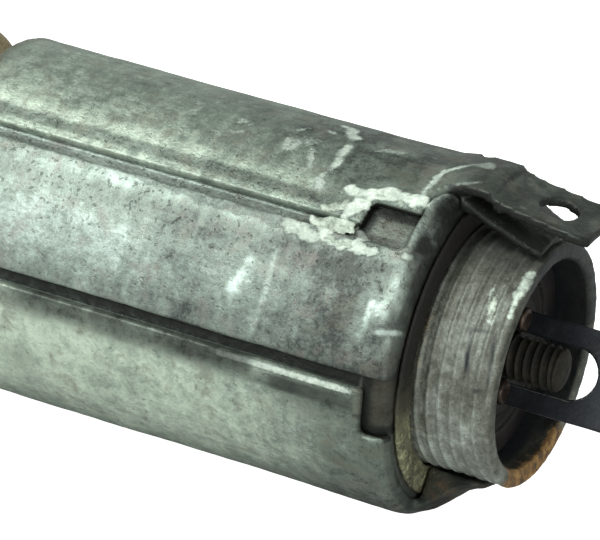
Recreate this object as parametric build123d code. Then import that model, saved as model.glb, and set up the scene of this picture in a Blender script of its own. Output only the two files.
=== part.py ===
"""Cigar lighter and accessory socket for a car dashboard, with its clamping shell.

Frame: X is the socket's axis and points to the rear, where the wires go on. +Z is up, through
the earth tab. The origin is on the axis, in the plane of the bezel face that seats on the panel.
Lengths are millimetres. An angle around the axis is measured from -Y towards +Z, in degrees.
"""
from build123d import *
from math import cos, radians, sin
import os

# ---------------------------------------------------------------- driving dimensions
WELL_R = 10.5            # inside radius of the well, for a 21 mm plug
WELL_WALL = 0.9
SHELL_R = 14.2           # outside of the clamping shell
SHEET = 0.8              # sheet of the shell's cup, of its sleeve and of the earth tab
NECK_R = 10.0            # crest of the M20 x 1 thread
NECK_PITCH = 1.0
STUD_R = 1.95            # crest of the M4 contact stud
STUD_PITCH = 0.7
SHELL_FRONT = 5.0        # front edge of the shell when it is slackened off, as stored
SHELL_REAR = 46.9        # rear face of the shell
NECK_REAR = 53.9
STUD_REAR = 55.8
TAB_WIDTH = 6.3
GAP = 0.1                # clearance left round each piece that flexes

# ---------------------------------------------------------------- worked-out places
WELL_OUT = WELL_R + WELL_WALL
CUP_R = SHELL_R - SHEET          # the sleeve lies on the cup
CUP_IN = CUP_R - SHEET
WELL_FRONT = -1.6
WELL_REAR = 39.0
FLOOR_FRONT = 36.6               # the floor plate closes the rear of the well
FLOOR_REAR = 37.8
THREAD_FRONT = 39.8
MOUTH_REAR = 13.0                # the well is full size in its mouth and relieved behind
RELIEF = 0.4
STEP_X = 49.4                    # step in the neck that the terminal board seats on
NECK_BORE = 7.9
NECK_MOUTH = 8.5
BOARD_REAR = 51.0

RIB_MID = 30.0                   # the cup's raised rib stands in the sleeve's opening
RIB_HALF = 21.0
RIB_START = RIB_MID - RIB_HALF
RIB_END = RIB_MID + RIB_HALF
OPENING_LOW = RIB_MID - 25.5     # edges of the sleeve's opening
OPENING_HIGH = RIB_MID + 25.5
CUP_BEND = 1.0                   # outside bend of the cup where the sleeve lies over it
RIB_BEND = 1.45
SHOULDER_X = 44.95               # the cup's full-height shoulder starts here
SHOULDER_END = 78.0
NUT_HUB = 11.85                  # the ring nut turns in the cup's rear wall on this radius
NUT_FLANGE = 12.3
NUT_BORE = NECK_R + 0.06

FINGER_ANGLES = (0.0, 180.0)
FINGER_ROOT = 14.0
FINGER_TIP = 24.0
FINGER_HALF = 2.0
CLIP_ANGLES = (90.0, 210.0, 330.0)
CLIP_HALF = 2.2
CLIP_HINGE = 33.8
EAR_IN = 7.3
EAR_OUT = 7.9
CARRIER_FRONT = 34.2
CARRIER_REAR = 35.0
STUD_THREAD = 44.0

BLADE_ANGLE = 120.0              # direction across the blade terminal
BLADE_REAR = 68.0
BLADE_HALF = 3.8
BLADE_THICK = 0.8
SLOT_HALF = 2.05                 # the blade's slot, which straddles the stud
SLOT_END = 56.4
RIVET_R = 0.7
RIVET_ALONG = 2.95               # the rivets stand beside the blade, not on the stud's centre line
RIVET_ACROSS = 1.45
FOOT_THICK = 0.6
STRAP_THICK = 0.5


def turned(points, start=0.0, end=360.0):
    """Turn a closed outline of (x, radius) points round the axis, between two angles."""
    outline = Polyline(*[(x, -r, 0) for x, r in points], close=True)
    body = revolve(make_face(outline), axis=Axis.X, revolution_arc=end - start)
    return body.rotate(Axis.X, -end)


def ring(x0, x1, r_in, r_out, start=0.0, end=360.0):
    """A plain ring or a sector of one, between two planes and two radii."""
    return turned([(x0, r_in), (x1, r_in), (x1, r_out), (x0, r_out)], start, end)


def disc(x0, x1, r):
    """A solid disc on the axis."""
    return Location((x0, 0, 0)) * (Plane.YZ * extrude(Circle(r), amount=x1 - x0))


def rod(x0, x1, r, along, across=0.0, angle=BLADE_ANGLE):
    """A round rod along X, set off the axis: 'along' the blade's width and 'across' its face."""
    post = Location((x0, -across, along)) * (Plane.YZ * extrude(Circle(r), amount=x1 - x0))
    return post.rotate(Axis.X, 90 - angle)


def plate(x0, x1, low, high, near, far, angle=BLADE_ANGLE):
    """A block with its width along 'angle' and its thickness along the normal 90 degrees before it."""
    block = Pos((x0 + x1) / 2, -(near + far) / 2, (low + high) / 2) * Box(x1 - x0, far - near, high - low)
    return block.rotate(Axis.X, 90 - angle)


def thread_outline(front, rear, crest, pitch, depth, core):
    """Outline of a threaded barrel, with its ridges drawn as rings, down to the radius 'core'."""
    points = [(front, core), (front, crest - depth)]
    count = int((rear - front) / pitch)
    for index in range(count):
        x = front + index * pitch
        points += [
            (x + 0.10 * pitch, crest - depth),
            (x + 0.42 * pitch, crest),
            (x + 0.62 * pitch, crest),
            (x + 0.94 * pitch, crest - depth),
        ]
    points += [(rear, crest - depth), (rear, core)]
    return points


def hex_nut(x0, height, across_flats, bore):
    """A hexagon nut on the axis, with its corners turned down on both faces."""
    corner = across_flats / 2 / cos(radians(30))
    blank = Location((x0, 0, 0)) * (Plane.YZ * extrude(RegularPolygon(corner, 6), amount=height))
    flat = across_flats / 2 * 0.96
    slope = (corner - flat) * 0.55
    envelope = turned([
        (x0, 0), (x0, flat), (x0 + slope, corner + 0.01),
        (x0 + height - slope, corner + 0.01), (x0 + height, flat), (x0 + height, 0),
    ])
    return (blank & envelope) - disc(x0 - 1, x0 + height + 1, bore)


def save(shape, name):
    """Name a sub-part and write it to its own file."""
    shape.label = name
    export_step(shape, "parts/" + name + ".step")


# ---------------------------------------------------------------- receptacle
def bezel_ring():
    """Turned front ring with a rounded rim; its rear face seats on the panel."""
    rim, lip, face = 14.0, 0.8, -2.6
    steps = [90 - 15 * index for index in range(7)]
    nose = [(face + lip - lip * sin(radians(a)), rim - lip + lip * cos(radians(a))) for a in steps]
    tail = [(-lip + lip * sin(radians(90 - a)), rim - lip + lip * cos(radians(90 - a))) for a in steps]
    return turned([(-0.7, 11.45), (-0.7, 13.0), (-1.65, 13.0), (-1.65, 11.0), (face, 11.3)]
                  + nose + tail + [(0.0, 11.45)])


def well_tube():
    """Drawn tube that takes the plug, with a front flange and two windows for the earth fingers."""
    flange_r = 12.95
    tube = turned([
        (WELL_FRONT, WELL_R), (MOUTH_REAR, WELL_R), (MOUTH_REAR + RELIEF, WELL_R + RELIEF),
        (WELL_REAR, WELL_R + RELIEF), (WELL_REAR, WELL_OUT),
        (WELL_FRONT + WELL_WALL, WELL_OUT), (WELL_FRONT + WELL_WALL, flange_r), (WELL_FRONT, flange_r),
    ])
    half = FINGER_HALF + 0.35
    for angle in FINGER_ANGLES:
        tube -= plate(FINGER_ROOT, FINGER_TIP + 0.6, 8.0, 13.0, -half, half, angle)
    return tube


def earth_finger(angle):
    """Spring finger cut from the well's wall, with a rounded pip that wipes on the plug."""
    leaf = ring(FINGER_ROOT + GAP, FINGER_TIP, WELL_R + RELIEF, WELL_OUT - 0.05)
    strip = plate(FINGER_ROOT, FINGER_TIP + 0.5, 8.0, 13.0, -FINGER_HALF, FINGER_HALF, angle)
    pip_x, pip_depth = FINGER_TIP - 2.0, 0.2
    ball = Pos(pip_x, 0, WELL_R + 1.6 - pip_depth) * Sphere(1.6)
    ball = ball.rotate(Axis.X, 90 - angle) & ring(pip_x - 2, pip_x + 1.9, WELL_R - 1, WELL_OUT - 0.3)
    return (leaf & strip) + ball


def threaded_neck():
    """Turned bush spun into the rear of the tube; the clamping ring nut runs on its thread."""
    barrel = turned(thread_outline(THREAD_FRONT, NECK_REAR, NECK_R, NECK_PITCH, 0.45, NECK_BORE))
    barrel += ring(FLOOR_REAR, WELL_REAR, NECK_BORE, WELL_R + RELIEF)
    barrel += ring(WELL_REAR, THREAD_FRONT, NECK_BORE, WELL_OUT)
    return barrel - disc(STEP_X, NECK_REAR + 1, NECK_MOUTH)


def floor_plate():
    """Steel disc that closes the rear of the well round the insulated stud."""
    return ring(FLOOR_FRONT, FLOOR_REAR, 3.2, WELL_R + RELIEF)


def front_insulator():
    """Moulded disc with a hub that keeps the stud off the floor plate."""
    return ring(CARRIER_REAR, FLOOR_FRONT, STUD_R, 9.6) + ring(FLOOR_FRONT, FLOOR_REAR, STUD_R, 3.15)


def rear_insulator():
    """Hard paper washer behind the floor plate."""
    return ring(FLOOR_REAR, 39.2, STUD_R, 7.4)


def contact_stud():
    """M4 stud: its broad head is the centre contact, and its threaded rear end stands in the neck."""
    front, head_r = CARRIER_FRONT - 2.0, 3.3
    head = turned([(front, 0), (front, 2.4), (front + 0.4, head_r),
                   (CARRIER_FRONT, head_r), (CARRIER_FRONT, 0)])
    shank = disc(CARRIER_FRONT, STUD_THREAD, STUD_R)
    rear = turned(thread_outline(STUD_THREAD, STUD_REAR - 0.6, STUD_R, STUD_PITCH, 0.24, 0))
    tip = turned([(STUD_REAR - 0.6, 0), (STUD_REAR - 0.6, STUD_R - 0.12), (STUD_REAR - 0.25, STUD_R - 0.2),
                  (STUD_REAR - 0.05, STUD_R - 0.75), (STUD_REAR, 0)])
    return head + shank + rear + tip


def contact_plate():
    """Brass carrier behind the stud's head, with an ear turned forwards for each bimetal clip."""
    carrier = ring(CARRIER_FRONT, CARRIER_REAR, STUD_R, EAR_OUT)
    for angle in CLIP_ANGLES:
        ear = ring(CARRIER_FRONT - 2.4, CARRIER_FRONT, EAR_IN, EAR_OUT)
        ear &= plate(31, 35, 5, 9, -CLIP_HALF, CLIP_HALF, angle)
        carrier += ear
    return carrier


def bimetal_clip(angle):
    """Bimetal leaf welded to an ear: it grips the heater cup and lets go when it is hot."""
    leaf = turned([
        (CLIP_HINGE, 7.95), (CLIP_HINGE, 8.4), (29.2, 8.4), (27.6, 7.9), (26.0, 8.9),
        (25.7, 8.55), (27.5, 7.35), (29.0, 7.95),
    ])
    return leaf & plate(24, 35, 5, 11, -CLIP_HALF, CLIP_HALF, angle)


def lock_washer():
    """Split spring washer under the stud nut."""
    washer = ring(39.2, 40.0, STUD_R, 3.6)
    return washer - plate(39, 41, 0, 5, -0.3, 0.3, 75)


def terminal_link():
    """Brass strap in front of the board that joins both rivets to the stud."""
    strap = plate(STEP_X - STRAP_THICK, STEP_X, -4.6, 4.6, -2.6, 2.6)
    strap -= disc(STEP_X - 1, STEP_X + 1, STUD_R)
    for side in (-1, 1):
        strap -= rod(STEP_X - 1, STEP_X + 1, RIVET_R, side * RIVET_ALONG, RIVET_ACROSS)
    return strap


def terminal_board():
    """Phenolic board in the neck's mouth, with a raised edge, that carries the blade terminal."""
    board = ring(STEP_X, BOARD_REAR - 0.4, STUD_R + 0.05, NECK_MOUTH - 0.05)
    board += ring(BOARD_REAR - 0.4, BOARD_REAR, 6.4, NECK_MOUTH - 0.05)
    board += ring(BOARD_REAR - 0.4, BOARD_REAR, STUD_R + 0.05, 5.0)
    for side in (-1, 1):
        board -= rod(STEP_X - 1, BOARD_REAR + 1, RIVET_R, side * RIVET_ALONG, RIVET_ACROSS)
    return board


def blade_terminal():
    """Blade for the live wire: its slot straddles the stud, and its two feet are riveted down."""
    half = BLADE_THICK / 2
    blade = plate(BOARD_REAR, BLADE_REAR, -BLADE_HALF, BLADE_HALF, -half, half)
    blade -= plate(BOARD_REAR - 1, SLOT_END, -SLOT_HALF, SLOT_HALF, -1, 1)
    round_end = Pos(SLOT_END, 0, 0) * (Plane.XZ * extrude(Circle(SLOT_HALF), amount=1, both=True))
    blade -= round_end.rotate(Axis.X, 90 - BLADE_ANGLE)
    eye = Pos(BLADE_REAR - 4.0, 0, 0) * (Plane.XZ * extrude(Circle(0.9), amount=1, both=True))
    blade -= eye.rotate(Axis.X, 90 - BLADE_ANGLE)
    for side in (-1, 1):
        corner = Pos(BLADE_REAR, 0, side * BLADE_HALF) * Rotation(0, 45, 0) * Box(2.2, 3, 2.2)
        blade -= corner.rotate(Axis.X, 90 - BLADE_ANGLE)
        low, high = sorted((side * (SLOT_HALF + 0.05), side * BLADE_HALF))
        foot = plate(BOARD_REAR, BOARD_REAR + FOOT_THICK, low, high, -half, 2.5)
        blade += foot - rod(BOARD_REAR - 1, BOARD_REAR + 2, RIVET_R, side * RIVET_ALONG, RIVET_ACROSS)
    return blade


def terminal_rivets():
    """Two brass rivets that hold the blade's feet to the board and to the strap."""
    rivets = []
    for side in (-1, 1):
        front = STEP_X - STRAP_THICK
        rear = BOARD_REAR + FOOT_THICK
        along = side * RIVET_ALONG
        shank = rod(front, rear, RIVET_R, along, RIVET_ACROSS)
        head = rod(rear, rear + 0.5, 1.0, along, RIVET_ACROSS)
        head = fillet(head.edges().group_by(Axis.X)[-1], 0.35)
        rivets.append(shank + head)
    return Compound(children=rivets)


# ---------------------------------------------------------------- clamping shell
def bend_points(rear, outer, bend, last=90):
    """Points round an outside bend, from the cylinder 'outer' to the plane 'rear'."""
    return [
        (rear - bend + bend * sin(radians(a)), outer - bend + bend * cos(radians(a)))
        for a in range(0, last + 1, 15)
    ]


def cup_section(outer, bend):
    """Section of the cup: its wall, the bend and the rear wall with the hole for the ring nut."""
    front = SHELL_FRONT + 0.15
    wall = SHELL_REAR - SHEET
    hole = NUT_HUB + 0.05
    return ([(front, CUP_IN), (front, outer)] + bend_points(SHELL_REAR, outer, bend)
            + [(SHELL_REAR, hole), (wall, hole), (wall, CUP_IN)])


def clamp_cup():
    """Drawn cup of the shell, with a rear wall, a raised rib and a full-height shoulder behind."""
    wall = SHELL_REAR - SHEET
    rib_side = 4.0
    cup = turned(cup_section(CUP_R, CUP_BEND))
    rib = turned(cup_section(SHELL_R, RIB_BEND), RIB_START, RIB_END)
    pocket = ring(SHELL_FRONT - 1, wall, CUP_IN - 0.5, CUP_R, RIB_START + rib_side, RIB_END - rib_side)
    shoulder = turned(cup_section(SHELL_R, RIB_BEND), RIB_END - 1, SHOULDER_END)
    shoulder &= ring(SHOULDER_X, SHELL_REAR + 1, 5, SHELL_R + 1)
    shoulder -= tab_root()
    return cup + rib - pocket + shoulder


def outer_sleeve():
    """Open sleeve over the cup, with its cut-outs, the earth tab and a lug dressed onto the neck."""
    rear = SHELL_REAR + 0.3
    edge_bevel = 0.25
    section = [(SHELL_FRONT, CUP_R), (SHELL_FRONT, SHELL_R - edge_bevel), (SHELL_FRONT + edge_bevel, SHELL_R)]
    section += bend_points(rear, SHELL_R, 1.5, 75)
    section += reversed(bend_points(SHELL_REAR, CUP_R, CUP_BEND, 75))
    sleeve = turned(section, OPENING_HIGH - 360, OPENING_LOW)
    inside, outside = 10.0, SHELL_R + 2
    sleeve -= ring(SHOULDER_X - 0.1, rear + 1, inside, outside, -12.0, OPENING_LOW + 5)
    sleeve -= ring(40.9, SHOULDER_X + 3, inside, outside, OPENING_HIGH - 5, 65.0)
    sleeve -= ring(SHOULDER_X, rear + 1, inside, outside, 50.0, 130.0)
    return sleeve + tab_root() + earth_tab() + locking_lugs()


def tab_root():
    """Root of the earth tab: it joggles up over the cup's shoulder and narrows to the tab."""
    top = [(43.0, SHELL_R), (45.3, 14.64), (46.9, 15.03), (48.6, 15.12), (49.35, 14.95),
           (49.6, 14.45), (50.3, 14.25)]
    under = [(x, r - SHEET) for x, r in reversed(top)]
    root = turned(top + under, 90 - 21, 90 + 21)
    corner = 1.6
    narrow = SHOULDER_X + corner
    for side in (-1, 1):
        centre = side * (TAB_WIDTH / 2 + corner)
        root -= Pos(narrow, centre, 14) * Cylinder(corner, 8)
        root -= Pos(narrow + 5, side * (TAB_WIDTH / 2 + 5), 14) * Box(10, 10, 8)
        root -= Pos(narrow, centre + side * 5, 14) * Box(2 * corner, 10, 8)
    return root


def earth_tab():
    """Tab for the earth wire, which slopes to the rear and has a hole that the connector snaps into."""
    tip = 57.5
    top = [(49.4, 14.35), (51.4, 13.9), (tip, 12.98)]
    under = [(x, z - SHEET) for x, z in reversed(top)]
    side_view = Plane.XZ * make_face(Polyline(*(top + under), close=True))
    blade = extrude(side_view, amount=TAB_WIDTH / 2, both=True)
    for side in (-1, 1):
        corner = Pos(tip, side * TAB_WIDTH / 2, 12.5)
        blade -= corner * Rotation(0, 0, 45) * Box(0.8, 0.8, 6)
    return blade - Pos(53.8, -0.1, 13) * Cylinder(1.55, 8)


def dressed_lug(outer, inner, start, end):
    """Lug at the rear edge, dressed down towards the neck; its root lies on the cup's bend."""
    root = [(47.45, 12.8), (46.95, 12.75), (46.75, 13.15), (45.9, 13.47), (45.9, 14.18)]
    return turned(outer + inner + root, start, end)


def locking_lugs():
    """Two lugs that keep the nut in place: one crushed onto the neck below, a long one under the tab."""
    below = dressed_lug([(47.4, 13.55), (48.5, 12.62), (49.3, 11.9), (50.1, 11.25), (50.8, 10.85),
                         (51.8, 10.5)],
                        [(51.7, 10.12), (47.5, 10.12)], -90.0, -57.0)
    under_tab = dressed_lug([(47.6, 13.7), (49.2, 12.75), (51.0, 11.9), (52.6, 11.2), (53.6, 10.8)],
                            [(53.5, 10.25), (52.4, 10.65), (50.8, 11.35), (49.0, 12.2)], 76.0, 114.0)
    return below + (under_tab - ring(SHOULDER_X, SHELL_REAR, NUT_HUB, SHELL_R + 1, 70.0, SHOULDER_END + 0.5))


def solder_fillet():
    """Solder that ties the sleeve to the cup's rib beside the upper cut-out."""
    seam = ring(38.9, 40.85, CUP_R, SHELL_R, RIB_END, OPENING_HIGH)
    crown = SHELL_R + 0.22
    return seam + turned([(38.6, SHELL_R), (40.9, SHELL_R), (40.6, crown), (38.9, crown)], 46.0, 62.0)


def ring_nut():
    """Ring nut that is held in the cup's rear wall by a flange on each side, and runs on the neck."""
    front_face = 44.9
    wall_front = SHELL_REAR - SHEET - 0.05
    wall_rear = SHELL_REAR + 0.05
    nut = ring(front_face, wall_front, NUT_BORE, 12.5)
    nut += ring(wall_front, wall_rear, NUT_BORE, NUT_HUB)
    nut += ring(wall_rear, wall_rear + 0.35, NUT_BORE, NUT_FLANGE)
    for angle in (130.0, 310.0):
        nut -= plate(wall_rear + 0.05, wall_rear + 1, 11.2, 14.0, -0.8, 0.8, angle)
    return nut


os.makedirs("parts", exist_ok=True)

save(bezel_ring(), "bezel_ring")
save(well_tube(), "well_tube")
save(threaded_neck(), "threaded_neck")
save(floor_plate(), "floor_plate")
save(front_insulator(), "front_insulator")
save(rear_insulator(), "rear_insulator")
save(contact_stud(), "contact_stud")
save(contact_plate(), "contact_plate")
save(lock_washer(), "lock_washer")
save(hex_nut(40.0, 3.2, 7.0, STUD_R), "stud_nut")
save(hex_nut(STEP_X - 3.7, 3.2, 7.0, STUD_R), "link_nut")
save(terminal_link(), "terminal_link")
save(terminal_board(), "terminal_board")
save(blade_terminal(), "blade_terminal")
save(terminal_rivets(), "terminal_rivets")
for number, clip_angle in enumerate(CLIP_ANGLES, start=1):
    save(bimetal_clip(clip_angle), "bimetal_clip_" + str(number))
for number, finger_angle in enumerate(FINGER_ANGLES, start=1):
    save(earth_finger(finger_angle), "earth_finger_" + str(number))
save(clamp_cup(), "clamp_cup")
save(outer_sleeve(), "outer_sleeve")
save(solder_fillet(), "solder_fillet")
save(ring_nut(), "ring_nut")
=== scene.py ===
"""Looks of the cigar lighter socket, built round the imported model. Lengths are metres.

X is the socket's axis and points to the rear, and +Z is up through the earth tab. Marks on the round
surfaces are placed by millimetres along X and by degrees round the axis, from -Y towards +Z.
"""
import math
from itertools import product

import bmesh
import bpy
import numpy as np
from mathutils import Euler, Matrix, Vector


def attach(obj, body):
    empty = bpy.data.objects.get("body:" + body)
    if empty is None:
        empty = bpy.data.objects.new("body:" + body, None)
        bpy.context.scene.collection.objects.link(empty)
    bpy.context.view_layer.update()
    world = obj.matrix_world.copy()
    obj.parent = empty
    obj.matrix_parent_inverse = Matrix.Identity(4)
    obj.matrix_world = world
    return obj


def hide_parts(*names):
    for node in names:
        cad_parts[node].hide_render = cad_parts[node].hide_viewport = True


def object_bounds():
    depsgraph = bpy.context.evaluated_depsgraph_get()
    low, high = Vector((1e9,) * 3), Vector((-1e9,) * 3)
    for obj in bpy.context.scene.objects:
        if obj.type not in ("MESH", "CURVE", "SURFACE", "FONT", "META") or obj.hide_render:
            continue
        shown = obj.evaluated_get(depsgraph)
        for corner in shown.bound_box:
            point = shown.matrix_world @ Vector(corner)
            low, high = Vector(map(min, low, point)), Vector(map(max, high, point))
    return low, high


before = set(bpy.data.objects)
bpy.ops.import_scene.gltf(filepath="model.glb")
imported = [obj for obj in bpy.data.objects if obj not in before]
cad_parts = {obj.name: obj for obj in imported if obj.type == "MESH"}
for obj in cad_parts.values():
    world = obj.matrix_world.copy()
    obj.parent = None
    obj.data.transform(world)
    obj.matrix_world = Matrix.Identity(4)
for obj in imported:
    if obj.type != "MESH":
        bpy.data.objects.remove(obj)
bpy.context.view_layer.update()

# ---------------------------------------------------------------- sizes shared with the model, in mm
MM = 0.001                # metres
SHELL_R = 14.2            # outside of the sleeve and of the cup's raised rib
CUP_R = 13.4              # outside of the cup where the sleeve lies on it
SHELL_REAR = 46.9
RIB_LOW, RIB_HIGH = 9.0, 51.0            # edges of the cup's rib, degrees
OPENING_LOW, OPENING_HIGH = 4.5, 55.5    # edges of the sleeve's opening, degrees
NECK_FLANGE = 37.8        # front of the neck's flange
FLANGE_REAR = 39.8
NECK_REAR = 53.9
NECK_R = 10.0
NECK_PITCH = 1.0
NECK_DEPTH = 0.20         # thread depth, shallow because its roots are filled with dirt
NECK_BORE = 7.9
NECK_MOUTH = 8.5
MOUTH_STEP = 49.4         # where the bore widens to the mouth
STUD_R = 1.95
STUD_PITCH = 0.7
STUD_DEPTH = 0.30
STUD_REAR = 55.8
STUD_THREAD = 44.0        # front end of the stud's thread
STUD_HEAD = (32.2, 34.2, 3.3)            # front, rear and radius of the stud's head
SHELL_VOXEL = 0.24        # face size of the shell's skin
SOLDER_VOXEL = 0.11


# ---------------------------------------------------------------- seeded noise for the mesh work
def scatter(cells, seed):
    """A fixed pseudo-random number from 0 to 1 for each cell of a lattice."""
    mixed = cells[:, 0] * 73856093 ^ cells[:, 1] * 19349663 ^ cells[:, 2] * 83492791 ^ (seed * 40503 + 977)
    mixed = (mixed ^ (mixed >> 13)) * 1274126177
    return ((mixed ^ (mixed >> 16)) & 0xFFFF) / 65535.0


def smooth_noise(points, seed):
    """Value noise from 0 to 1, one unit from cell to cell."""
    cell = np.floor(points).astype(np.int64)
    part = points - cell
    part = part * part * (3 - 2 * part)
    total = np.zeros(len(points))
    for corner in product((0, 1), repeat=3):
        weight = np.prod(np.where(np.array(corner) == 1, part, 1 - part), axis=1)
        total += weight * scatter(cell + np.array(corner), seed)
    return total


def cloud(points, size, octaves, seed):
    """Layered noise from about -1 to 1 over points in mm; 'size' is its broadest feature in mm."""
    total, weight, reach = np.zeros(len(points)), 1.0, 0.0
    for octave in range(octaves):
        total += weight * (smooth_noise(points / size * 2 ** octave, seed + octave) * 2 - 1)
        reach += weight
        weight *= 0.55
    return total / reach * 1.6


def ease(value, low, high):
    """0 below 'low', 1 above 'high' and a smooth rise between."""
    t = np.clip((value - low) / (high - low), 0, 1)
    return t * t * (3 - 2 * t)


def along(x, stops):
    """A value that changes along the axis, from (x, value) stops."""
    return np.interp(x, *zip(*stops))


# ---------------------------------------------------------------- mesh helpers
class Surface:
    """The vertices of a mesh in mm, with their place along and round the axis."""

    def __init__(self, piece):
        count = len(piece.data.vertices)
        flat = np.zeros(count * 3)
        piece.data.vertices.foreach_get("co", flat)
        self.points = flat.reshape(-1, 3) / MM
        piece.data.vertices.foreach_get("normal", flat)
        self.normals = flat.reshape(-1, 3).copy()
        self.x = self.points[:, 0]
        self.radius = np.hypot(self.points[:, 1], self.points[:, 2])
        self.angle = np.degrees(np.arctan2(self.points[:, 2], -self.points[:, 1]))
        outward = self.points[:, 1:] / np.maximum(self.radius, 0.01)[:, None]
        self.facing_out = (outward * self.normals[:, 1:]).sum(axis=1)
        self.facing_rear = self.normals[:, 0]

    def near(self, path, radius=SHELL_R):
        """Distance in mm over the surface to one (x, degrees) point, or to a line through several."""
        here = np.stack([self.x, np.radians(self.angle) * radius], axis=1)
        line = [np.array((x, math.radians(a) * radius)) for x, a in path]
        best = np.full(len(self.x), 1e9)
        for start, end in zip(line, line[1:] or line):
            run = end - start
            t = np.clip(((here - start) @ run) / max(run @ run, 1e-9), 0, 1)
            best = np.minimum(best, np.linalg.norm(here - start - t[:, None] * run, axis=1))
        return best


def new_piece(name, mesh):
    """An object for a finished mesh, with smooth shading."""
    mesh.polygons.foreach_set("use_smooth", [True] * len(mesh.polygons))
    piece = bpy.data.objects.new(name, mesh)
    bpy.context.scene.collection.objects.link(piece)
    return piece


def remeshed(mesh, voxel):
    """The same closed shape as an even skin of small faces, 'voxel' mm across."""
    holder = bpy.data.objects.new("holder", mesh)
    bpy.context.scene.collection.objects.link(holder)
    skin = holder.modifiers.new("skin", "REMESH")
    skin.mode = "VOXEL"
    skin.voxel_size = voxel * MM
    bpy.context.view_layer.update()
    graph = bpy.context.evaluated_depsgraph_get()
    result = bpy.data.meshes.new_from_object(holder.evaluated_get(graph))
    bpy.data.objects.remove(holder)
    return result


def dense_copy(node, name, voxel):
    """A copy of a CAD node with a fine, even skin that can carry dents and crust."""
    work = bmesh.new()
    work.from_mesh(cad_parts[node].data)
    bmesh.ops.remove_doubles(work, verts=work.verts, dist=0.001 * MM)
    mesh = bpy.data.meshes.new(name)
    work.to_mesh(mesh)
    work.free()
    return new_piece(name, remeshed(mesh, voxel))


def push(piece, surface, distance):
    """Move each vertex along its normal by 'distance' mm."""
    moved = (surface.points + surface.normals * distance[:, None]) * MM
    piece.data.vertices.foreach_set("co", moved.ravel())
    piece.data.update()


def paint_marks(piece, **marks):
    """Store a number for each vertex, for the material to read."""
    for name, values in marks.items():
        layer = piece.data.attributes.new(name, "FLOAT", "POINT")
        layer.data.foreach_set("value", np.clip(values, 0, 1).astype(np.float32))


def lathe(name, outline, turns, cut):
    """Turn a closed outline of (x, radius) points round X; 'cut' gives the radii at each angle."""
    x = np.array([p[0] for p in outline])
    r = np.array([p[1] for p in outline])
    rows = len(outline)
    verts = []
    for step in range(turns):
        theta = 2 * math.pi * step / turns
        radii = cut(x, r, theta)
        verts.append(np.stack([x, -radii * math.cos(theta), radii * math.sin(theta)], axis=1))
    faces = []
    for step in range(turns):
        here, ahead = step * rows, (step + 1) % turns * rows
        for row in range(rows):
            above = (row + 1) % rows
            faces.append((here + row, here + above, ahead + above, ahead + row))
    mesh = bpy.data.meshes.new(name)
    mesh.from_pydata((np.concatenate(verts) * MM).tolist(), [], faces)
    fixer = bmesh.new()
    fixer.from_mesh(mesh)
    bmesh.ops.recalc_face_normals(fixer, faces=fixer.faces)
    fixer.to_mesh(mesh)
    fixer.free()
    return new_piece(name, mesh)


def runs(start, end, step):
    """Evenly spaced numbers from start to end."""
    return np.linspace(start, end, max(2, int(round(abs(end - start) / step)) + 1)).tolist()


def ridge(x, pitch, theta):
    """Height from 0 to 1 of a right-hand thread with narrow flat crests and roots."""
    turn = (x / pitch + theta / (2 * math.pi)) % 1.0
    return np.clip((0.5 - np.abs(turn - 0.5)) * 2.6 - 0.55, 0, 1)


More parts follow.
